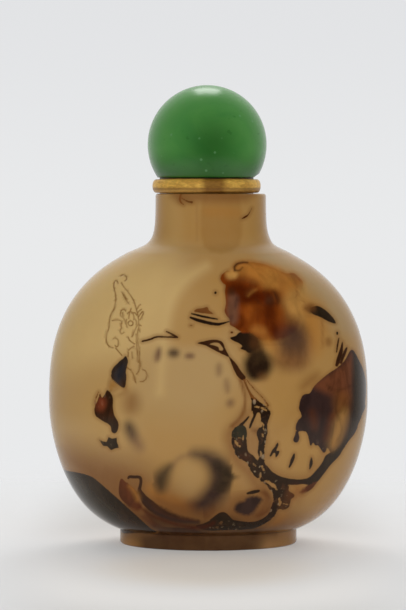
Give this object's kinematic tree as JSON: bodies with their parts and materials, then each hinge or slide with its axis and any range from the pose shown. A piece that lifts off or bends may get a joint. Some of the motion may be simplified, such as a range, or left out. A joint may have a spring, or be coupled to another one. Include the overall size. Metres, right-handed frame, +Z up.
{
  "type": "snuff bottle",
  "caption": "Flattened round carved agate snuff bottle on an oval foot, hollow inside, closed by a ball-shaped green stone stopper on a gilt collar and a cork.",
  "frame": {"origin": "middle of the foot's underside", "axes": "+Z up through the neck, +X to the bottle's right in the front view, -Y out of the front face that carries the markings"},
  "size_m": [0.0538, 0.037, 0.0772],
  "materials": {
    "agate": "polished translucent agate, honey brown and grey, with dark brown and amber markings",
    "gilt_metal": "worn gilding with fine hammer marks",
    "green_stone": "polished translucent green stone with fine veins and specks",
    "cork": "natural cork"
  },
  "bodies": {
    "root": {"bottle": "agate", "collar": "gilt_metal", "stopper": "green_stone", "stopper_cork": "cork"}
  },
  "joints": []
}
